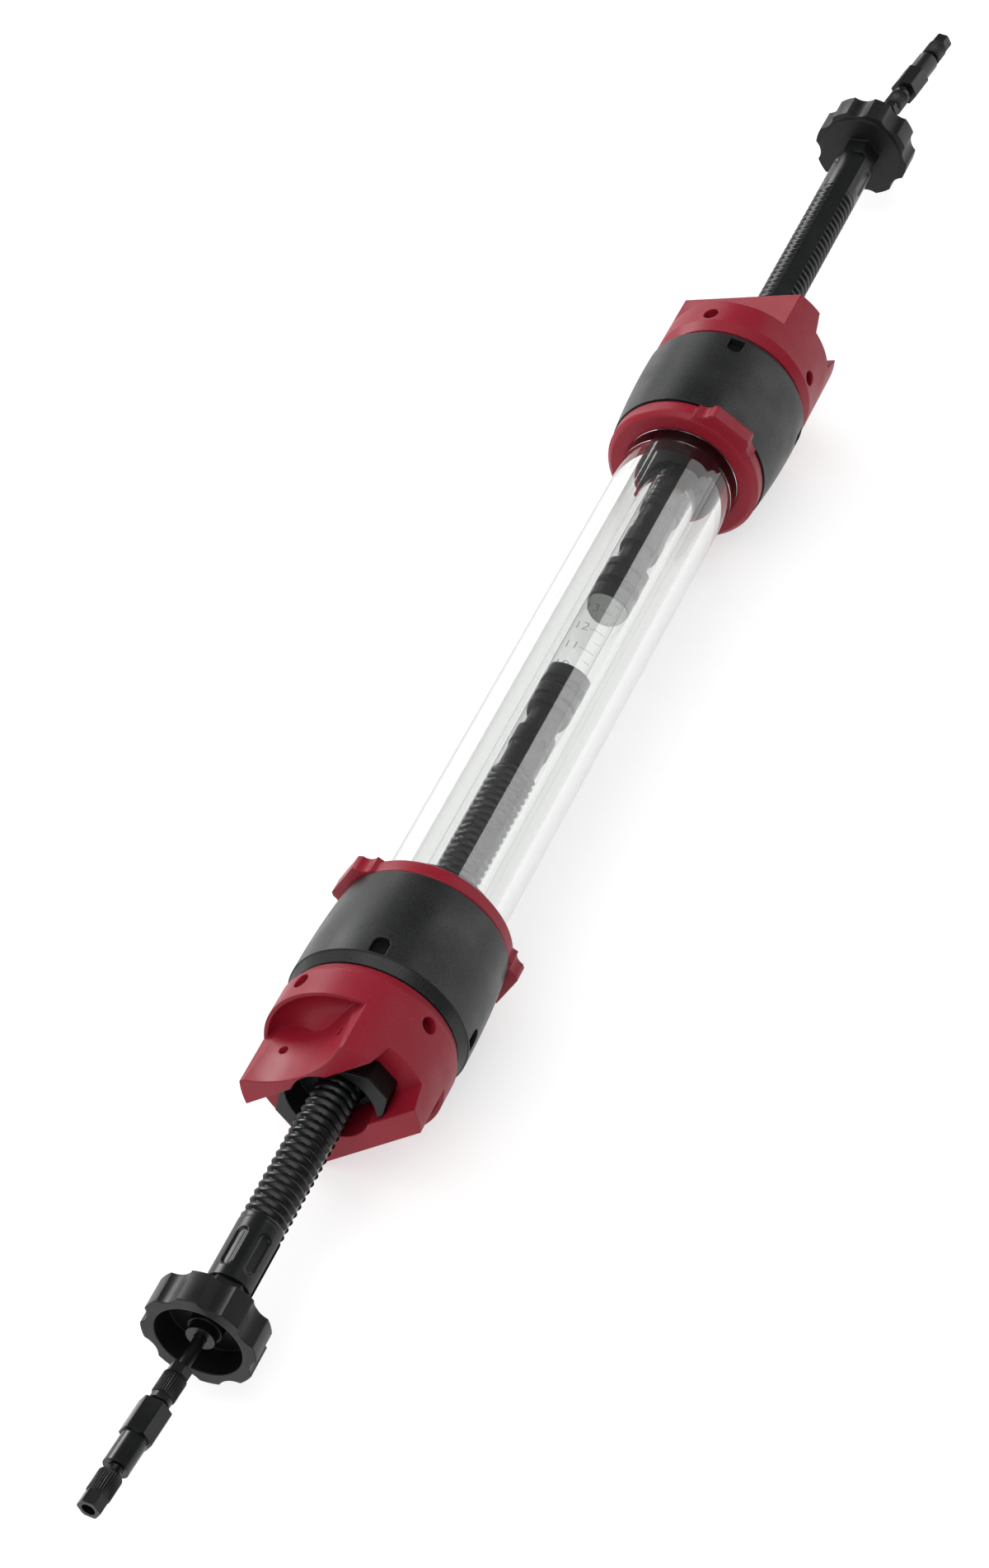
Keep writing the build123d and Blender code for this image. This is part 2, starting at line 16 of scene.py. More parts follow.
import bmesh
import bpy
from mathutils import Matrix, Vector


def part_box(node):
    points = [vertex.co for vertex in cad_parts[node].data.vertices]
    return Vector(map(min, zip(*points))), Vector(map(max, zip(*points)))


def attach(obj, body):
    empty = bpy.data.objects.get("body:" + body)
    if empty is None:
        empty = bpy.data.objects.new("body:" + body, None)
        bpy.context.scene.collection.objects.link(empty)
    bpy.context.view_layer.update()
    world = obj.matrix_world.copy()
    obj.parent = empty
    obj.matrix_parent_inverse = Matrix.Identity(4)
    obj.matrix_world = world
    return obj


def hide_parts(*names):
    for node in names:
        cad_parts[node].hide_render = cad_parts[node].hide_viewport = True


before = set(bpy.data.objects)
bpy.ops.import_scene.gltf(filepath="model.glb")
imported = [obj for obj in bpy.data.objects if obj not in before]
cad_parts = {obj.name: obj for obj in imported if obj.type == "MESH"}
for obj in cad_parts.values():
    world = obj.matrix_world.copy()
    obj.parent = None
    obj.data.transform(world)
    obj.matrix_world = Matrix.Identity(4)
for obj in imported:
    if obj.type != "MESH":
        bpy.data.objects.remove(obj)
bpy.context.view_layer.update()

LOG = logging.getLogger("column")
MM = 0.001

Point = tuple[float, float, float]
Face = tuple[int, ...]


class Side(Enum):
    """The two ends of the column."""

    FAR = "far"
    NEAR = "near"

    @property
    def outward(self) -> int:
        """Direction away from the column's middle, along X."""
        return 1 if self is Side.FAR else -1


def metres(value: float) -> float:
    """Millimetres as metres."""
    return value * MM


def srgb(code: str) -> tuple[float, float, float, float]:
    """Linear colour of an sRGB hex code.

    Args:
        code: six hex digits, with or without a leading hash.

    Returns:
        Linear red, green and blue, and a full alpha.
    """
    digits = code.lstrip("#")
    channels = [int(digits[k:k + 2], 16) / 255 for k in (0, 2, 4)]
    linear = [c / 12.92 if c <= 0.04045 else ((c + 0.055) / 1.055) ** 2.4 for c in channels]
    return (*linear, 1.0)


def on_round(x: float, radius: float, angle: float, axis_z: float) -> Point:
    """Point round the column's axis.

    Args:
        x: place along the column, in millimetres.
        radius: distance from the axis, in millimetres.
        angle: degrees from +Z towards +Y.
        axis_z: height of the axis, in millimetres.

    Returns:
        The point in metres.
    """
    a = math.radians(angle)
    return metres(x), metres(radius * math.sin(a)), metres(axis_z + radius * math.cos(a))


# ---- node trees ---------------------------------------------------------------------
MIX_FIRST, MIX_SECOND, MIX_RESULT = 6, 7, 2     # the Mix node's colour sockets, by number


def add_node(tree: bpy.types.NodeTree, kind: str, settings: dict[str | int, object] | None = None,
             links: dict[str, bpy.types.NodeSocket] | None = None) -> bpy.types.Node:
    """Adds one node with its settings and links.

    Args:
        tree: the material's node tree.
        kind: Blender's name for the node type.
        settings: values by attribute, input name or input number.
        links: output sockets by input name.

    Returns:
        The new node.
    """
    node = tree.nodes.new(kind)
    for name, value in (settings or {}).items():
        if isinstance(name, int) or name in node.inputs:
            node.inputs[name].default_value = value
        else:
            setattr(node, name, value)
    for name, socket in (links or {}).items():
        tree.links.new(socket, node.inputs[name])
    return node


def new_material(name: str) -> tuple[bpy.types.Material, bpy.types.NodeTree, bpy.types.Node]:
    """Material with an empty tree and its output.

    Args:
        name: the material's name.

    Returns:
        The material, its node tree and its output node.
    """
    material = bpy.data.materials.new(name)
    material.use_nodes = True
    tree = material.node_tree
    tree.nodes.clear()
    return material, tree, tree.nodes.new("ShaderNodeOutputMaterial")


@dataclass(frozen=True)
class MouldedPlastic:
    """Injection-moulded plastic: satin skin, fine spark-eroded grain, soft edges.

    The grain breaks the highlight into a fine sparkle, and slow changes of gloss show where the melt cooled.
    """

    name: str
    colour: str
    shade: str                      # second colour of the faint mottle
    roughness: float = 0.42
    roughness_spread: float = 0.08
    ior: float = 1.5                # ABS, polyamide and acetal all lie near this
    specular: float = 0.5
    grain_mm: float = 0.5           # coarser than the real 0.05 mm grain, so that it shows
    grain_span: tuple[float, float] = (0.35, 0.65)     # values of the noise that most of the grain has
    grain_depth: float = 0.12       # share of the height below that the bump uses
    grain_height_mm: float = 0.08
    flow_mm: float = 14.0           # size of the slow gloss changes
    flow_span: tuple[float, float] = (0.3, 0.7)
    edge_mm: float = 0.35           # radius of the moulded edges
    edge_samples: int = 6

    def build(self) -> bpy.types.Material:
        """Makes the node material.

        Returns:
            The material.
        """
        material, tree, out = new_material(self.name)
        coords = add_node(tree, "ShaderNodeTexCoord").outputs["Object"]
        grain = add_node(tree, "ShaderNodeTexNoise", {"Scale": 1 / metres(self.grain_mm), "Detail": 3.0},
                         {"Vector": coords})
        flow = add_node(tree, "ShaderNodeTexNoise", {"Scale": 1 / metres(self.flow_mm), "Detail": 2.0},
                        {"Vector": coords})
        speckle = add_node(tree, "ShaderNodeMapRange",
                           {"From Min": self.grain_span[0], "From Max": self.grain_span[1]},
                           {"Value": grain.outputs["Fac"]})
        tint = add_node(tree, "ShaderNodeMix",
                        {"data_type": "RGBA", MIX_FIRST: srgb(self.colour), MIX_SECOND: srgb(self.shade)},
                        {"Factor": speckle.outputs["Result"]})
        gloss = add_node(tree, "ShaderNodeMapRange",
                         {"From Min": self.flow_span[0], "From Max": self.flow_span[1],
                          "To Min": self.roughness - self.roughness_spread,
                          "To Max": self.roughness + self.roughness_spread}, {"Value": flow.outputs["Fac"]})
        edge = add_node(tree, "ShaderNodeBevel",
                        {"samples": self.edge_samples, "Radius": metres(self.edge_mm)})
        bump = add_node(tree, "ShaderNodeBump",
                        {"Strength": self.grain_depth, "Distance": metres(self.grain_height_mm)},
                        {"Height": grain.outputs["Fac"], "Normal": edge.outputs["Normal"]})
        shader = add_node(tree, "ShaderNodeBsdfPrincipled",
                          {"IOR": self.ior, "Specular IOR Level": self.specular},
                          {"Base Color": tint.outputs[MIX_RESULT], "Roughness": gloss.outputs["Result"],
                           "Normal": bump.outputs["Normal"]})
        tree.links.new(shader.outputs["BSDF"], out.inputs["Surface"])
        return material


@dataclass(frozen=True)
class ClearTube:
    """Drawn or extruded clear tube: polished walls that mirror the studio and bend what lies behind.

    Faint lengthwise drawing marks make its highlights waver a little.
    """

    name: str
    tint: str
    ior: float
    roughness: float = 0.0
    streak_mm: float = 1.2          # distance between the marks
    streak_stretch: float = 0.01    # the marks run a hundred times as long as they are wide
    streak_depth: float = 0.004
    streak_height_mm: float = 0.05

    def build(self) -> bpy.types.Material:
        """Makes the node material.

        Returns:
            The material.
        """
        material, tree, out = new_material(self.name)
        coords = add_node(tree, "ShaderNodeTexCoord").outputs["Object"]
        stretch = add_node(tree, "ShaderNodeMapping", {"Scale": (self.streak_stretch, 1.0, 1.0)},
                           {"Vector": coords})
        streaks = add_node(tree, "ShaderNodeTexNoise", {"Scale": 1 / metres(self.streak_mm), "Detail": 1.0},
                           {"Vector": stretch.outputs["Vector"]})
        bump = add_node(tree, "ShaderNodeBump",
                        {"Strength": self.streak_depth, "Distance": metres(self.streak_height_mm)},
                        {"Height": streaks.outputs["Fac"]})
        shader = add_node(tree, "ShaderNodeBsdfPrincipled",
                          {"Base Color": srgb(self.tint), "IOR": self.ior, "Roughness": self.roughness,
                           "Transmission Weight": 1.0}, {"Normal": bump.outputs["Normal"]})
        tree.links.new(shader.outputs["BSDF"], out.inputs["Surface"])
        return material


@dataclass(frozen=True)
class SoftRubber:
    """Moulded rubber: matt and almost without highlight, with a dusty bloom."""

    name: str
    colour: str
    bloom: str
    bloom_mm: float = 2.0           # size of the bloom's clouds
    roughness: float = 0.62
    ior: float = 1.52
    specular: float = 0.15

    def build(self) -> bpy.types.Material:
        """Makes the node material.

        Returns:
            The material.
        """
        material, tree, out = new_material(self.name)
        coords = add_node(tree, "ShaderNodeTexCoord").outputs["Object"]
        cloud = add_node(tree, "ShaderNodeTexNoise", {"Scale": 1 / metres(self.bloom_mm), "Detail": 4.0},
                         {"Vector": coords})
        tint = add_node(tree, "ShaderNodeMix",
                        {"data_type": "RGBA", MIX_FIRST: srgb(self.colour), MIX_SECOND: srgb(self.bloom)},
                        {"Factor": cloud.outputs["Fac"]})
        shader = add_node(tree, "ShaderNodeBsdfPrincipled",
                          {"IOR": self.ior, "Roughness": self.roughness, "Specular IOR Level": self.specular},
                          {"Base Color": tint.outputs[MIX_RESULT]})
        tree.links.new(shader.outputs["BSDF"], out.inputs["Surface"])
        return material


@dataclass(frozen=True)
class PorousDisc:
    """Sintered or woven polymer disc: pale, matt, finely pitted, with grey shade painted into the pits."""

    name: str
    colour: str
    # grey of the shade painted into the pores, deepest at their bottoms
    pit: str
    pore_mm: float = 0.35           # real pores are some 0.02 mm; drawn coarser so that they show
    pit_reach: float = 0.6          # where the painted pore shade has faded out, as a share of a pore
    pit_depth: float = 0.3
    pit_height_mm: float = 0.05
    roughness: float = 0.8
    ior: float = 1.49

    def build(self) -> bpy.types.Material:
        """Makes the node material.

        Returns:
            The material.
        """
        material, tree, out = new_material(self.name)
        coords = add_node(tree, "ShaderNodeTexCoord").outputs["Object"]
        pores = add_node(tree, "ShaderNodeTexVoronoi", {"Scale": 1 / metres(self.pore_mm)},
                         {"Vector": coords})
        # The grey is strongest at each pore's bottom and fades outwards: painted shade.
        ramp = add_node(tree, "ShaderNodeMapRange", {"From Max": self.pit_reach},
                        {"Value": pores.outputs["Distance"]})
        tint = add_node(tree, "ShaderNodeMix",
                        {"data_type": "RGBA", MIX_FIRST: srgb(self.pit), MIX_SECOND: srgb(self.colour)},
                        {"Factor": ramp.outputs["Result"]})
        bump = add_node(tree, "ShaderNodeBump",
                        {"Strength": self.pit_depth, "Distance": metres(self.pit_height_mm)},
                        {"Height": pores.outputs["Distance"]})
        shader = add_node(tree, "ShaderNodeBsdfPrincipled", {"IOR": self.ior, "Roughness": self.roughness},
                          {"Base Color": tint.outputs[MIX_RESULT], "Normal": bump.outputs["Normal"]})
        tree.links.new(shader.outputs["BSDF"], out.inputs["Surface"])
        return material


@dataclass(frozen=True)
class PrintedInk:
    """Fired ceramic ink on glass: thin, flat and matt, a little uneven."""

    name: str
    colour: str
    worn: str
    wear_mm: float = 0.6            # size of the uneven patches
    cover: float = 0.6              # the print is thin enough to see through
    roughness: float = 0.5
    ior: float = 1.5

    def build(self) -> bpy.types.Material:
        """Makes the node material.

        Returns:
            The material.
        """
        material, tree, out = new_material(self.name)
        coords = add_node(tree, "ShaderNodeTexCoord").outputs["Object"]
        wear = add_node(tree, "ShaderNodeTexNoise", {"Scale": 1 / metres(self.wear_mm), "Detail": 4.0},
                        {"Vector": coords})
        tint = add_node(tree, "ShaderNodeMix",
                        {"data_type": "RGBA", MIX_FIRST: srgb(self.colour), MIX_SECOND: srgb(self.worn)},
                        {"Factor": wear.outputs["Fac"]})
        shader = add_node(tree, "ShaderNodeBsdfPrincipled",
                          {"IOR": self.ior, "Roughness": self.roughness, "Alpha": self.cover,
                           "Specular IOR Level": 0.0}, {"Base Color": tint.outputs[MIX_RESULT]})
        tree.links.new(shader.outputs["BSDF"], out.inputs["Surface"])
        return material


class Finish(Enum):
    """The finishes of the column, by what each one is made of and how."""

    # Glass-filled polyamide off a spark-eroded mould: deep red, a broad soft highlight, softly rounded edges.
    CRIMSON_CAP = MouldedPlastic("moulded_crimson_polyamide_cap", "#981b2e", "#871426", roughness=0.44,
                                 grain_depth=0.2, edge_mm=0.7, specular=0.26)
    # The same polyamide with well-rounded wings, so that its highlights run smoothly over the edges.
    CRIMSON_RING = MouldedPlastic("moulded_crimson_polyamide_ring", "#981b2e", "#871426", grain_depth=0.2,
                                  edge_mm=1.5, specular=0.28)
    # Charcoal polyamide with a coarser grain: it sparkles along the highlight and goes near black beside it.
    SLEEVE = MouldedPlastic("moulded_charcoal_polyamide", "#232524", "#101111", roughness=0.4, grain_mm=0.6,
                            grain_depth=0.45, edge_mm=0.5, specular=0.36)
    # Black acetal, tumbled after moulding: rounded rims with small clear glints.
    KNOB = MouldedPlastic("tumbled_black_acetal", "#141615", "#090a0a", roughness=0.4, grain_mm=0.4,
                          grain_depth=0.2, edge_mm=0.8, specular=0.32)
    # Black acetal, machined and smooth: each thread crest carries its own narrow highlight.
    ROD = MouldedPlastic("machined_black_acetal", "#101212", "#0c0e0f", roughness=0.3, grain_mm=0.4,
                         grain_depth=0.06, edge_mm=0.15, specular=0.36)
    # Black PEEK, turned and knurled: tight edges and a slight sheen.
    FITTING = MouldedPlastic("turned_black_peek", "#0f1111", "#090a0a", roughness=0.32, grain_mm=0.3,
                             grain_depth=0.08, edge_mm=0.25, specular=0.4)
    # Black polyamide of the hidden holder: evenly dull behind the glass.
    INNER = MouldedPlastic("moulded_black_polyamide", "#0e0f10", "#0a0b0c", roughness=0.45,
                           grain_depth=0.1, edge_mm=0.25)
    # Borosilicate glass, drawn: colourless and fully polished.
    GLASS = ClearTube("drawn_borosilicate_glass", "#ffffff", 1.47)
    # Clear acrylic, extruded: a trace of grey gathers where the wall is seen edge on.
    JACKET = ClearTube("extruded_clear_acrylic", "#f3f4f3", 1.49)
    # Black seal rubber, moulded: it takes the light away round the tips.
    # The same black rubber dresses the plates that paint the shade in the sleeves' windows.
    RUBBER = SoftRubber("moulded_black_rubber", "#070707", "#0e0e0e")
    # Polyethylene, sintered: chalky white, with grey shade painted into its small pits.
    FRIT = PorousDisc("sintered_polyethylene", "#f3f4f2", "#c9ccc9")
    # Grey ceramic ink, fired on the glass: thin lines that the dark rod behind shows through.
    INK = PrintedInk("fired_grey_ceramic_ink", "#4a4d4c", "#5d6160")


MATERIALS: dict[Finish, bpy.types.Material] = {}


def dress(obj: bpy.types.Object, finish: Finish) -> None:
    """Gives a piece or CAD node its finish.

    Args:
        obj: the object to dress.
        finish: which finish it gets.
    """
    if finish not in MATERIALS:
        MATERIALS[finish] = finish.value.build()
    material = MATERIALS[finish]
    if obj.material_slots:
        for slot in obj.material_slots:
            slot.material = material
    else:
        obj.data.materials.append(material)


# ---- meshes -----------------------------------------------------------------------------
def mesh_piece(name: str, points: Sequence[Sequence[float]], faces: Iterable[Sequence[int]],
               smooth_angle: float = 35.0) -> bpy.types.Object:
    """Object from points in metres and faces.

    Args:
        name: the piece's name.
        points: corner positions.
        faces: corner indices of each face.
        smooth_angle: edges sharper than this stay sharp.

    Returns:
        The new object, linked to the scene.
    """
    mesh = bpy.data.meshes.new(name)
    mesh.from_pydata([tuple(p) for p in points], [], [tuple(f) for f in faces])
    mesh.update()
    shape = bmesh.new()
    shape.from_mesh(mesh)
    bmesh.ops.recalc_face_normals(shape, faces=shape.faces)
    for face in shape.faces:
        face.smooth = True
    for edge in shape.edges:
        if len(edge.link_faces) == 2 and edge.calc_face_angle(0.0) > math.radians(smooth_angle):
            edge.smooth = False
    shape.to_mesh(mesh)
    shape.free()
    obj = bpy.data.objects.new(name, mesh)
    bpy.context.scene.collection.objects.link(obj)
    return obj


def skin(rows: int, columns: int) -> list[Face]:
    """Faces of a closed skin whose points run round in rows.

    Args:
        rows: how many rows of points there are.
        columns: how many points each row has.

    Returns:
        The faces between neighbouring rows and columns.
    """
    return [(r * columns + c, r * columns + (c + 1) % columns, (r + 1) * columns + (c + 1) % columns,
             (r + 1) * columns + c) for r in range(rows - 1) for c in range(columns)]


# ---- where things are ------------------------------------------------------------------
@dataclass(frozen=True)
class Layout:
    """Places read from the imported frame, in millimetres."""

    axis_z: float
    middle_x: float

    @classmethod
    def read(cls) -> "Layout":
        """Reads the axis and the middle from the jacket's box."""
        low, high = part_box("jacket")
        return cls(axis_z=(low[2] + high[2]) / 2 / MM, middle_x=(low[0] + high[0]) / 2 / MM)


def end_station(node: str, side: Side, outer: bool) -> float:
    """Place of a node's inner or outer end along X.

    Args:
        node: the node's name without its side.
        side: which end of the column.
        outer: True for the end away from the column's middle.

    Returns:
        The place along X, in millimetres.
    """
    low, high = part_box(f"{node}_{side.value}")
    at_high = (side is Side.FAR) == outer
    return (high[0] if at_high else low[0]) / MM


# ---- threaded adapter rod -----------------------------------------------------------------
@dataclass
class ThreadedRod:
    """Rod of one adapter: a round-crested thread cut by two keyways, and a plain end with grip pockets."""

    side: Side
    layout: Layout
    key_angle: float                # where the middle of one keyway points
    stem_length: float = 13.4       # plain neck at the inner end
    plain_length: float = 23.5      # smooth outer end
    crest_r: float = 7.7
    root_r: float = 6.75
    stem_r: float = 6.6
    bore_r: float = 5.0
    end_chamfer: float = 0.5
    pitch: float = 3.2
    groove_power: float = 0.75      # below 1, the crests are broader than the grooves
    keyway_width: float = 5.6
    keyway_r: float = 6.6           # from the axis to the keyway's floor
    pocket_length: float = 15.0
    pocket_width: float = 3.6
    pocket_depth: float = 0.7
    pocket_slope: float = 5.0       # steepness of the pocket's walls
    pocket_angles: tuple[float, ...] = (60.0, 120.0, 240.0, 300.0)
    rows_per_pitch: int = 10
    plain_rows: int = 60
    sector_columns: int = 40        # columns between the two keyways
    shoulder: float = 0.02          # length of the steep step from neck to thread
    hair: float = 0.01              # a difference too small to matter
    inner: float = field(init=False)
    length: float = field(init=False)

    def __post_init__(self) -> None:
        """Reads the rod's inner end and its length from the frame."""
        self.inner = end_station("adapter_rod", self.side, outer=False)
        self.length = abs(end_station("adapter_rod", self.side, outer=True) - self.inner)

    @property
    def thread_end(self) -> float:
        """Station where the thread gives way to the plain end."""
        return self.length - self.plain_length

    @property
    def keyway_half(self) -> float:
        """Half the keyway's width at the crests, in degrees."""
        return math.degrees(math.asin(self.keyway_width / 2 / self.crest_r))

    def columns(self) -> list[tuple[float, bool]]:
        """Lays out the columns of points round the rod.

        Returns:
            Angles from the keyway's middle, each with True where it lies on a keyway's floor.
        """
        half = self.keyway_half
        floor = math.degrees(math.atan2(self.keyway_width / 2, self.keyway_r))
        span = 180.0 - 2 * half
        result: list[tuple[float, bool]] = []
        for base in (0.0, 180.0):
            result += [(base - floor, True), (base, True), (base + floor, True)]
            result += [(base + half + span * k / self.sector_columns, False)
                       for k in range(self.sector_columns + 1)]
        return result

    def stations(self) -> list[float]:
        """Lays out the rows of points along the rod.

        Returns:
            Stations from the inner end outwards.
        """
        start, end = self.stem_length, self.thread_end
        count = round((end - start) / self.pitch * self.rows_per_pitch)
        thread = [start + (end - start) * k / count for k in range(count + 1)]
        plain = [end + self.plain_length * k / self.plain_rows for k in range(1, self.plain_rows)]
        return ([0.0, start - self.shoulder] + thread + plain
                + [self.length - self.end_chamfer, self.length])

    def groove(self, station: float, angle: float) -> float:
        """How far the thread's groove lies below the crest.

        Args:
            station: place along the rod.
            angle: degrees from the keyway's middle.

        Returns:
            A share of the thread's depth, 1 at the root; it runs out over the last pitch.
        """
        turns = (station - self.stem_length) / self.pitch - angle / 360.0
        wave = 1.0 - abs(math.sin(math.pi * turns)) ** self.groove_power
        run_out = min(1.0, max(0.0, (self.thread_end - station) / self.pitch))
        return wave * run_out

    def pocket(self, station: float, angle: float) -> float:
        """Depth of the grip pockets at a place.

        Args:
            station: place along the rod.
            angle: degrees from the keyway's middle.

        Returns:
            The depth in millimetres, 0 beside the pockets.
        """
        middle = self.length - self.plain_length / 2
        straight = (self.pocket_length - self.pocket_width) / 2
        along = max(0.0, abs(station - middle) - straight)
        depth = 0.0
        for centre in self.pocket_angles:
            off = (angle - centre + 180.0) % 360.0 - 180.0
            across = math.radians(off) * self.crest_r
            reach = math.hypot(along, across) / (self.pocket_width / 2)
            wall = min(1.0, max(0.0, (1.0 - reach) * self.pocket_slope))
            depth = max(depth, self.pocket_depth * wall)
        return depth

    def radius(self, station: float, angle: float) -> float:
        """Radius of the skin between the keyways.

        Args:
            station: place along the rod.
            angle: degrees from the keyway's middle.

        Returns:
            The radius in millimetres.
        """
        if station < self.stem_length - self.hair:
            return self.stem_r
        if station <= self.thread_end:
            return self.crest_r - (self.crest_r - self.root_r) * self.groove(station, angle)
        chamfer = self.end_chamfer if station >= self.length - self.hair else 0.0
        return self.crest_r - self.pocket(station, angle) - chamfer

    def wall_angle(self, angle: float, radius: float) -> float:
        """Keeps the columns beside a keyway on its straight wall, whatever their radius.

        Args:
            angle: the column's angle at the crests.
            radius: where the column lies now.

        Returns:
            The angle that the point gets.
        """
        half = self.keyway_half
        wall = math.degrees(math.asin(self.keyway_width / 2 / radius))
        turned = angle % 180.0
        if abs(turned - half) < self.hair:
            return angle - half + wall
        if abs(turned - (180.0 - half)) < self.hair:
            return angle + half - wall
        return angle

    def place(self, station: float, radius: float, angle: float) -> Point:
        """Point of the rod, in metres."""
        return on_round(self.inner + self.side.outward * station, radius,
                        self.key_angle + angle * self.side.outward, self.layout.axis_z)

    def skin_point(self, station: float, angle: float, on_floor: bool) -> Point:
        """Point of the outer skin.

        Args:
            station: place along the rod.
            angle: the column's angle.
            on_floor: True for a column on a keyway's floor.

        Returns:
            The point in metres.
        """
        radius = self.radius(station, angle)
        if not on_floor:
            return self.place(station, radius, self.wall_angle(angle, radius))
        if station > self.stem_length - self.hair:
            turned = angle % 180.0
            offset = math.radians(turned if turned < 90 else turned - 180.0)
            radius = self.keyway_r / math.cos(offset)
        return self.place(station, radius, angle)

    def bore(self, points: list[Point], rows: list[float], columns: list[tuple[float, bool]]) -> list[Face]:
        """Adds the bore's two rings of points.

        Args:
            points: the skin's points; the rings are added to them.
            rows: the skin's stations.
            columns: the skin's angles.

        Returns:
            The faces of the bore and of both ends.
        """
        count = len(columns)
        last_row = (len(rows) - 1) * count
        first = len(points)
        points += [self.place(station, self.bore_r, angle) for station in (rows[0], rows[-1])
                   for angle, _ in columns]
        faces: list[Face] = []
        for c in range(count):
            n = (c + 1) % count
            faces.append((c, n, first + n, first + c))
            faces.append((last_row + c, first + count + c, first + count + n, last_row + n))
            faces.append((first + c, first + n, first + count + n, first + count + c))
        return faces

    def build(self) -> bpy.types.Object:
        """Builds the rod's mesh in place of its CAD node.

        Returns:
            The rod.
        """
        columns, rows = self.columns(), self.stations()
        points = [self.skin_point(station, angle, on_floor)
                  for station in rows for angle, on_floor in columns]
        faces = skin(len(rows), len(columns)) + self.bore(points, rows, columns)
        rod = mesh_piece(f"threaded_rod_{self.side.value}", points, faces, smooth_angle=50.0)
        dress(rod, Finish.ROD)
        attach(rod, f"adapter_{self.side.value}")
        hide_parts(f"adapter_rod_{self.side.value}")
        return rod


# ---- painted shade at the bottom of the sleeve's windows --------------------------------------
@dataclass
class WindowLatches:
    """Matt black plates at the bottom of a sleeve's four windows, painted shade for the dark inside behind
    them.
    """

    side: Side
    layout: Layout
    first_angle: float              # where the first window points
    count: int = 4
    inset: float = 4.35             # from the sleeve's end to the shade plate's flat side
    length: float = 6.5
    width: float = 5.3
    floor_r: float = 27.8
    rise: float = 1.1
    arc_steps: int = 12

    def outline(self) -> list[tuple[float, float]]:
        """Draws one shade plate's D shape.

        Returns:
            Distances in from the sleeve's end, each with the distance across.
        """
        half = self.width / 2
        middle = self.inset + self.length - half
        arc = [(middle + half * math.sin(math.pi * k / self.arc_steps),
                half * math.cos(math.pi * k / self.arc_steps)) for k in range(self.arc_steps + 1)]
        return [(self.inset, half), *arc, (self.inset, -half)]

    def build(self) -> bpy.types.Object:
        """Builds all of one sleeve's painted shade plates as one piece.

        Returns:
            The piece.
        """
        end = end_station("end_sleeve", self.side, outer=True)
        shape = self.outline()
        size = len(shape)
        points: list[Point] = []
        faces: list[Face] = []
        for k in range(self.count):
            a = math.radians(self.first_angle + 360.0 * k / self.count)
            low = len(points)
            top = low + size
            for height in (self.floor_r, self.floor_r + self.rise):
                for inward, sideways in shape:
                    y = height * math.sin(a) + sideways * math.cos(a)
                    z = height * math.cos(a) - sideways * math.sin(a)
                    points.append((metres(end - self.side.outward * inward), metres(y),
                                   metres(self.layout.axis_z + z)))
            faces.append(tuple(range(low, low + size)))
            faces.append(tuple(range(top, top + size)))
            faces += [(low + c, low + (c + 1) % size, top + (c + 1) % size, top + c) for c in range(size)]
        # These matt black plates paint the shade inside the sleeve's windows.
        shade_plates = mesh_piece(f"painted_window_shade_{self.side.value}", points, faces)
        dress(shade_plates, Finish.RUBBER)
        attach(shade_plates, "column")
        return shade_plates


# ---- knurled fittings on the capillary -------------------------------------------------------
def node_corners(node: str) -> list[Vector]:
    """Mesh corners of a CAD node, in metres."""
    return [vertex.co.copy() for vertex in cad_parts[node].data.vertices]


def mean(points: Sequence[Vector]) -> Vector:
    """Middle of some points."""
    return sum(points, Vector()) / len(points)


@dataclass(frozen=True)
class LocalAxis:
    """Axis of the bent capillary's fittings, with two directions across it.

    Its points and directions are in metres, and the places along it in millimetres.
    """

    origin: Vector
    along: Vector
    across: Vector
    third: Vector

    @classmethod
    def of_union(cls, side: Side) -> "LocalAxis":
        """Finds the axis through the middles of the union's two end faces.

        Args:
            side: which end of the column.

        Returns:
            The axis, pointing away from the column.
        """
        corners = node_corners(f"union_{side.value}")
        inner = mean(node_corners(f"connector_{side.value}"))
        outer = mean(node_corners(f"stop_plug_{side.value}"))
        along = (outer - inner).normalized()
        reach = [along.dot(c) for c in corners]
        slack = metres(0.5)
        first = mean([c for c in corners if along.dot(c) < min(reach) + slack])
        last = mean([c for c in corners if along.dot(c) > max(reach) - slack])
        along = (last - first).normalized()
        across = along.cross(Vector((0.0, 0.0, 1.0))).normalized()
        return cls(first, along, across, along.cross(across))

    def place(self, station: float, radius: float, angle: float) -> Vector:
        """Point round the axis.

        Args:
            station: place along the axis, in millimetres.
            radius: distance from the axis, in millimetres.
            angle: degrees about the axis.

        Returns:
            The point in metres.
        """
        a = math.radians(angle)
        spoke = self.across * math.cos(a) + self.third * math.sin(a)
        return self.origin + self.along * metres(station) + spoke * metres(radius)

    def station(self, point: Vector) -> float:
        """How far along the axis a point lies, in millimetres."""
        return self.along.dot(point - self.origin) / MM

    def angle(self, point: Vector) -> float:
        """Angle of a point about the axis, in degrees."""
        offset = point - self.origin
        return math.degrees(math.atan2(self.third.dot(offset), self.across.dot(offset)))

    def distance(self, point: Vector) -> float:
        """Distance of a point from the axis, in millimetres."""
        offset = point - self.origin
        return (offset - self.along * self.along.dot(offset)).length / MM

    def reach(self, node: str) -> tuple[float, float]:
        """First and last station of a CAD node, in millimetres."""
        stations = [self.station(corner) for corner in node_corners(node)]
        return min(stations), max(stations)


class Profile(Enum):
    """How one length of a fitting is shaped."""

    ROUND = "round"
    HEXAGON = "hexagon"
    KNURL = "knurl"
    THREAD = "thread"


@dataclass(frozen=True)
class Length:
    """One length of a fitting, in millimetres."""

    profile: Profile
    start: float
    end: float
    radius: float                   # to a hexagon's flats, else to the crests


@dataclass(frozen=True)
class Hole:
    """Round hole in a fitting's end, in millimetres."""

    radius: float
    depth: float


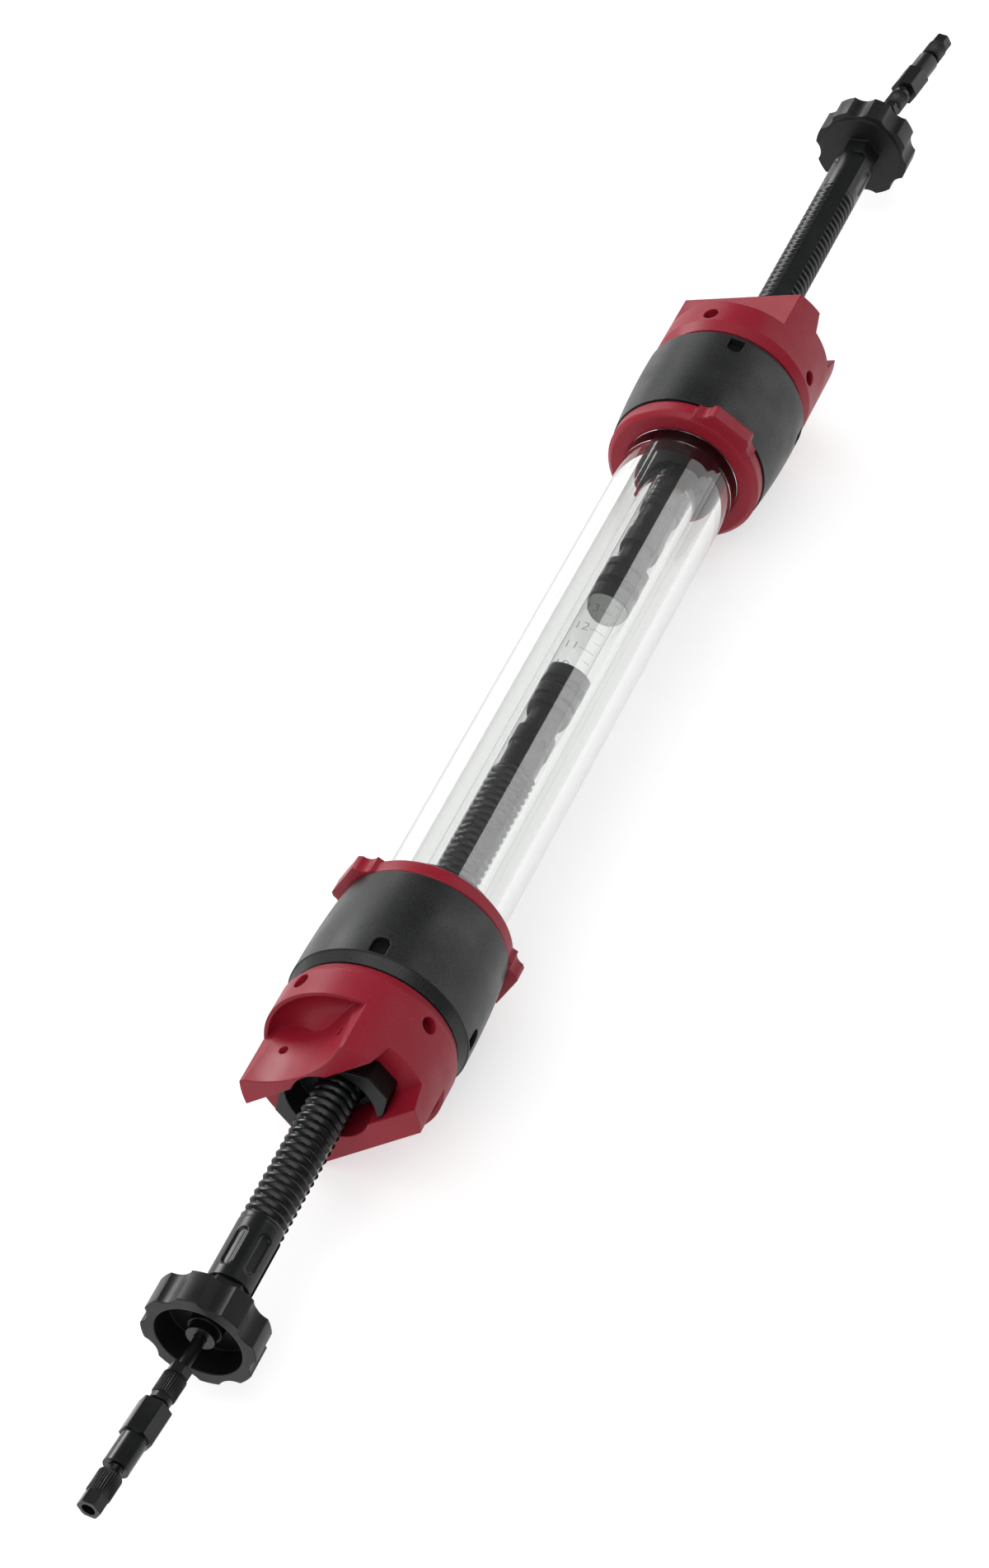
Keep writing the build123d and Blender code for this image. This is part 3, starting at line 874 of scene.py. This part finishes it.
@dataclass
class KnurledFitting:
    """Finger-tight nut or plug: hexagon, knurled grip, collar and fine screw, with a round hole."""

    name: str
    node: str
    side: Side
    axis: LocalAxis
    lengths: tuple[Length, ...]
    first_hole: Hole | None = None
    last_hole: Hole | None = None
    columns: int = 180
    ridges: int = 30
    ridge_depth: float = 0.36
    thread_pitch: float = 0.8
    thread_depth: float = 0.32
    rows_per_pitch: int = 8
    chamfer: float = 0.25
    hexagon_chamfer: float = 1.09   # where the chamfer meets the end face, as a share of the flats' radius
    corner_share: float = 1.16      # just past a hexagon's corners, as a share of the flats' radius
    slack: float = 0.1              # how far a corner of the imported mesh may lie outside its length

    def hexagon_turn(self) -> float:
        """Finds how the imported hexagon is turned.

        Returns:
            The angle of one of its corners.
        """
        flat = next(part for part in self.lengths if part.profile is Profile.HEXAGON)
        inside = [c for c in node_corners(self.node)
                  if flat.start - self.slack < self.axis.station(c) < flat.end + self.slack
                  and self.axis.distance(c) < flat.radius * self.corner_share]
        return self.axis.angle(max(inside, key=self.axis.distance))

    def radius(self, part: Length, station: float, angle: float, turn: float) -> float:
        """Distance from the axis to the skin.

        Args:
            part: the length that the place lies on.
            station: place along the axis.
            angle: degrees about the axis.
            turn: the angle of one of the hexagon's corners.

        Returns:
            The radius in millimetres.
        """
        ends = min(station - part.start, part.end - station)
        if part.profile is Profile.HEXAGON:
            corner = (angle - turn) % 60.0 - 30.0
            return min(part.radius / math.cos(math.radians(corner)),
                       part.radius * self.hexagon_chamfer + ends)
        if part.profile is Profile.KNURL:
            wave = abs(math.sin(math.radians(angle * self.ridges / 2)))
            slope = max(0.0, 1.0 - ends / (2 * self.chamfer))
            return part.radius - self.ridge_depth * (1.0 - wave) - self.chamfer * slope
        if part.profile is Profile.THREAD:
            wave = abs(math.sin(math.pi * (station / self.thread_pitch - angle / 360.0)))
            return part.radius - self.thread_depth * (1.0 - wave)
        return part.radius - self.chamfer * max(0.0, 1.0 - ends / self.chamfer)

    def stations(self, part: Length) -> list[float]:
        """Where one length is sampled.

        Args:
            part: the length.

        Returns:
            Places along the axis, in millimetres.
        """
        if part.profile is Profile.THREAD:
            count = max(2, round((part.end - part.start) / self.thread_pitch * self.rows_per_pitch))
            return [part.start + (part.end - part.start) * k / count for k in range(count + 1)]
        steps = (0.0, self.chamfer, 2 * self.chamfer)
        return [part.start + step for step in steps] + [part.end - step for step in reversed(steps)]

    def build(self) -> bpy.types.Object:
        """Builds the fitting in place of its CAD node.

        Returns:
            The fitting.
        """
        turn = self.hexagon_turn()
        angles = [360.0 * k / self.columns for k in range(self.columns)]
        first, last = self.lengths[0].start, self.lengths[-1].end
        rings: list[list[Vector]] = []
        if self.first_hole:
            rings += [[self.axis.place(station, self.first_hole.radius, a) for a in angles]
                      for station in (first + self.first_hole.depth, first)]
        for part in self.lengths:
            rings += [[self.axis.place(station, self.radius(part, station, a, turn), a) for a in angles]
                      for station in self.stations(part)]
        if self.last_hole:
            rings += [[self.axis.place(station, self.last_hole.radius, a) for a in angles]
                      for station in (last, last - self.last_hole.depth)]
        faces = skin(len(rings), self.columns)
        faces.append(tuple(range(self.columns)))
        faces.append(tuple((len(rings) - 1) * self.columns + c for c in range(self.columns)))
        piece = mesh_piece(f"{self.name}_{self.side.value}", [p for ring in rings for p in ring], faces,
                           smooth_angle=30.0)
        dress(piece, Finish.FITTING)
        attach(piece, f"adapter_{self.side.value}")
        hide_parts(self.node)
        return piece


@dataclass
class CapillaryFittings:
    """The finger-tight connector before the union and the stop plug behind it.

    A pair of sizes is a length and its radius, to the flats on a hexagon.
    """

    side: Side
    screw_r: float = 2.35
    connector_hexagon: tuple[float, float] = (3.4, 3.2)
    connector_knurl: tuple[float, float] = (8.0, 3.85)
    connector_collar: tuple[float, float] = (2.4, 3.4)
    connector_hole: Hole = Hole(radius=2.0, depth=11.4)
    plug_screw: float = 7.6
    plug_knurl: tuple[float, float] = (8.0, 3.9)
    plug_hexagon: tuple[float, float] = (5.0, 3.4)
    plug_hole: Hole = Hole(radius=2.2, depth=3.6)

    def build(self) -> list[bpy.types.Object]:
        """Builds both fittings.

        Returns:
            The connector and the plug.
        """
        axis = LocalAxis.of_union(self.side)
        node = f"connector_{self.side.value}"
        start, end = axis.reach(node)
        knurl = start + self.connector_hexagon[0]
        collar = knurl + self.connector_knurl[0]
        screw = collar + self.connector_collar[0]
        connector = KnurledFitting(
            "finger_connector", node, self.side, axis,
            (Length(Profile.HEXAGON, start, knurl, self.connector_hexagon[1]),
             Length(Profile.KNURL, knurl, collar, self.connector_knurl[1]),
             Length(Profile.ROUND, collar, screw, self.connector_collar[1]),
             Length(Profile.THREAD, screw, end, self.screw_r)), first_hole=self.connector_hole)
        node = f"stop_plug_{self.side.value}"
        start, end = axis.reach(node)
        knurl = start + self.plug_screw
        hexagon = knurl + self.plug_knurl[0]
        plug = KnurledFitting(
            "finger_plug", node, self.side, axis,
            (Length(Profile.THREAD, start, knurl, self.screw_r),
             Length(Profile.KNURL, knurl, hexagon, self.plug_knurl[1]),
             Length(Profile.HEXAGON, hexagon, end, self.plug_hexagon[1])), last_hole=self.plug_hole)
        return [connector.build(), plug.build()]


# ---- printed scale -------------------------------------------------------------------------
@dataclass
class PrintedScale:
    """Centimetre scale on the glass tube: a base line, ticks and plain numerals."""

    layout: Layout
    tube_r: float = 10.5
    lift: float = 0.04              # the print's height over the glass
    zero_x: float = -102.0          # from the column's middle
    centimetres: int = 20
    centimetre: float = 10.0
    base_angle: float = -45.3       # where the base line runs
    small_angle: float = -39.0      # where the millimetre ticks end
    half_angle: float = -28.6       # where the half-centimetre ticks end
    long_angle: float = -9.5        # where the centimetre ticks end
    numeral_angle: float = 5.0
    line: float = 0.22
    numeral_height: float = 4.0
    numeral_thin: float = 0.07      # taken off each side of the font's strokes
    font_share: float = 1.35        # font size for a numeral one unit high
    step_degrees: float = 4.0       # how far round the tube one flat of a tick reaches

    @property
    def start(self) -> float:
        """Place of the scale's zero along X."""
        return self.layout.middle_x + self.zero_x

    def strip(self, x: float, half_width: float, start: float, end: float, points: list[Point],
              faces: list[Face]) -> None:
        """Adds one printed strip that runs round the tube.

        Args:
            x: place of its middle along the column.
            half_width: half its size along the column.
            start: angle where it starts.
            end: angle where it ends.
            points: the mesh's points, added to.
            faces: the mesh's faces, added to.
        """
        steps = max(1, round(abs(end - start) / self.step_degrees))
        first = len(points)
        for k in range(steps + 1):
            angle = start + (end - start) * k / steps
            for dx in (-half_width, half_width):
                points.append(on_round(x + dx, self.tube_r + self.lift, angle, self.layout.axis_z))
        corners = [first + 2 * k for k in range(steps)]
        faces += [(corner, corner + 1, corner + 3, corner + 2) for corner in corners]

    def tick_end(self, millimetre: int) -> float:
        """Angle where a tick ends.

        Args:
            millimetre: the tick's number from the scale's zero.

        Returns:
            The angle in degrees.
        """
        if millimetre % 10 == 0:
            return self.long_angle
        return self.half_angle if millimetre % 5 == 0 else self.small_angle

    def ticks(self) -> bpy.types.Object:
        """Prints the base line and the ticks.

        Returns:
            Both as one piece.
        """
        points: list[Point] = []
        faces: list[Face] = []
        half_line = math.degrees(self.line / 2 / self.tube_r)
        end = self.start + self.centimetre * self.centimetres
        self.strip((self.start + end) / 2, (end - self.start) / 2, self.base_angle - half_line,
                   self.base_angle + half_line, points, faces)
        for k in range(10 * self.centimetres + 1):
            self.strip(self.start + k, self.line / 2, self.base_angle, self.tick_end(k), points, faces)
        return mesh_piece("scale_ticks", points, faces)

    def numeral(self, value: int) -> bpy.types.Object:
        """Prints one number, wrapped on the tube with its top towards the far end.

        Args:
            value: the number, in centimetres.

        Returns:
            The number's mesh.
        """
        curve = bpy.data.curves.new(f"numeral_{value}", "FONT")
        curve.body = str(value)
        curve.size = metres(self.numeral_height) * self.font_share
        curve.align_x = "CENTER"
        curve.align_y = "CENTER"
        curve.offset = -metres(self.numeral_thin)
        text = bpy.data.objects.new(f"numeral_shape_{value}", curve)
        bpy.context.scene.collection.objects.link(text)
        bpy.context.view_layer.update()
        mesh = bpy.data.meshes.new_from_object(text.evaluated_get(bpy.context.evaluated_depsgraph_get()))
        bpy.data.objects.remove(text)
        bpy.data.curves.remove(curve)
        x = self.start + self.centimetre * value
        for vertex in mesh.vertices:
            across, up = vertex.co.x / MM, vertex.co.y / MM
            angle = self.numeral_angle - math.degrees(across / self.tube_r)
            vertex.co = on_round(x + up, self.tube_r + self.lift, angle, self.layout.axis_z)
        mesh.name = f"numeral_{value}"
        obj = bpy.data.objects.new(f"numeral_{value}", mesh)
        bpy.context.scene.collection.objects.link(obj)
        return obj

    def build(self) -> list[bpy.types.Object]:
        """Prints the scale on the tube.

        Returns:
            Its pieces.
        """
        pieces = [self.ticks()] + [self.numeral(n) for n in range(self.centimetres + 1)]
        for piece in pieces:
            dress(piece, Finish.INK)
            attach(piece, "column")
        return pieces


# ---- finishes of the CAD nodes -----------------------------------------------------------------
NODE_FINISH: dict[str, Finish] = {
    "column_tube": Finish.GLASS,
    "jacket": Finish.JACKET,
    "tube_holder": Finish.INNER,
    "end_seal": Finish.RUBBER,
    "grip_ring": Finish.CRIMSON_RING,
    "end_sleeve": Finish.SLEEVE,
    "lock_cap": Finish.CRIMSON_CAP,
    "lock_nut": Finish.KNOB,
    "seal_pusher": Finish.ROD,
    "seal_ring": Finish.RUBBER,
    "adapter_rod": Finish.ROD,
    "plunger": Finish.FITTING,
    "tip_head": Finish.ROD,
    "bed_support": Finish.FRIT,
    "capillary": Finish.FITTING,
    "connector": Finish.FITTING,
    "union": Finish.FITTING,
    "stop_plug": Finish.FITTING,
    "knob": Finish.KNOB,
}


def base_name(node: str) -> str:
    """Node's name without its side."""
    for side in Side:
        node = node.removesuffix(f"_{side.value}")
    return node


def dress_frame() -> None:
    """Gives every CAD node its finish."""
    for name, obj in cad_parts.items():
        dress(obj, NODE_FINISH[base_name(name)])
        LOG.info("dressed %s", name)


# ---- studio --------------------------------------------------------------------------------------
@dataclass(frozen=True)
class SoftBox:
    """Rectangular area light; places and sizes are in metres, and the power in watts."""

    name: str
    place: Point
    aim: Point
    size: tuple[float, float]
    power: float

    def build(self) -> None:
        """Hangs the light and turns it to its aim."""
        lamp = bpy.data.lights.new(self.name, "AREA")
        lamp.shape = "RECTANGLE"
        lamp.size, lamp.size_y = self.size
        lamp.energy = self.power
        obj = bpy.data.objects.new(self.name, lamp)
        obj.location = self.place
        obj.rotation_euler = (Vector(self.aim) - Vector(self.place)).to_track_quat("-Z", "Y").to_euler()
        bpy.context.scene.collection.objects.link(obj)


SOFT_BOXES = (
    # Overhead: even light on everything.
    SoftBox("top_box", (-0.9, 0.3, 2.2), (0.0, 0.0, 0.0), (2.6, 2.4), 34.0),
    # From the left of the view: the broad highlights on sleeves and caps.
    SoftBox("key_box", (0.6, 1.65, 0.8), (0.0, 0.0, 0.03), (0.9, 0.8), 22.0),
    SoftBox("rim_box", (2.55, 1.65, 0.8), (0.2, 0.0, 0.03), (0.7, 0.8), 8.0),
    # Beyond the far end: its mirror image veils one half of the jacket.
    SoftBox("veil_box", (1.65, -1.294, 0.971), (1.65, 0.0, 0.031), (1.2, 2.16), 15.7),
    # Behind the view: opens the shadows in the near cap and the knobs.
    SoftBox("front_box", (-1.8, 0.2, 1.3), (0.0, 0.0, 0.03), (1.2, 0.9), 6.0),
)


@dataclass
class Studio:
    """Pale light table, soft boxes and the camera."""

    layout: Layout
    floor_half: float = 6.0         # half the table's size, in metres
    floor_colour: str = "#c4c4c4"
    floor_glow: float = 0.62        # the table's own light, which leaves hardly any shadow
    surround: float = 0.2           # strength of the even white surround
    lens_mm: float = 94.3
    sensor_mm: float = 36.0
    camera_from_middle: Point = (-941.3, -349.5, 962.3)
    view_dir: Point = (0.65538, 0.26082, -0.70884)

    def floor(self) -> None:
        """Lays the table, which reaches past the view."""
        size = self.floor_half
        corners = [(-size, -size, 0), (size, -size, 0), (size, size, 0), (-size, size, 0)]
        floor = mesh_piece("floor", corners, [(0, 1, 2, 3)])
        material, tree, out = new_material("pale_light_table")
        shader = add_node(tree, "ShaderNodeBsdfPrincipled",
                          {"Base Color": srgb(self.floor_colour), "Roughness": 0.8, "Specular IOR Level": 0.1,
                           "Emission Color": srgb("#ffffff"), "Emission Strength": self.floor_glow})
        tree.links.new(shader.outputs["BSDF"], out.inputs["Surface"])
        floor.data.materials.append(material)

    def sky(self) -> None:
        """Sets the even white surround."""
        world = bpy.data.worlds.new("studio")
        world.use_nodes = True
        background = world.node_tree.nodes["Background"]
        background.inputs["Color"].default_value = srgb("#ffffff")
        background.inputs["Strength"].default_value = self.surround
        bpy.context.scene.world = world

    def camera(self) -> None:
        """Sets the camera at the viewing angle."""
        lens = bpy.data.cameras.new("camera")
        lens.lens = self.lens_mm
        lens.sensor_width = self.sensor_mm
        lens.sensor_fit = "AUTO"
        lens.clip_start = 0.01
        lens.clip_end = 50.0
        obj = bpy.data.objects.new("camera", lens)
        middle = Vector((self.layout.middle_x, 0.0, self.layout.axis_z))
        obj.location = (middle + Vector(self.camera_from_middle)) * MM
        obj.rotation_euler = Vector(self.view_dir).to_track_quat("-Z", "Y").to_euler()
        bpy.context.scene.collection.objects.link(obj)
        bpy.context.scene.camera = obj

    def build(self) -> None:
        """Sets the whole studio, with colours shown as they are."""
        self.floor()
        self.sky()
        for box in SOFT_BOXES:
            box.build()
        self.camera()
        bpy.context.scene.view_settings.view_transform = "Standard"


KEYWAY_ANGLE = {Side.FAR: -15.0, Side.NEAR: 78.0}       # where one keyway of each rod points
WINDOW_ANGLE = {Side.FAR: -9.2, Side.NEAR: 0.0}         # where one window of each sleeve points


def main() -> None:
    """Builds every sub-assembly round the frame and reports each piece."""
    logging.basicConfig(level=logging.INFO, format="%(message)s")
    layout = Layout.read()
    dress_frame()
    pieces: list[bpy.types.Object] = []
    for side in Side:
        pieces.append(WindowLatches(side, layout, WINDOW_ANGLE[side]).build())
        pieces.append(ThreadedRod(side, layout, KEYWAY_ANGLE[side]).build())
        pieces += CapillaryFittings(side).build()
    pieces += PrintedScale(layout).build()
    for piece in pieces:
        LOG.info("built %s with %d faces", piece.name, len(piece.data.polygons))
    Studio(layout).build()


if __name__ == "__main__":
    main()
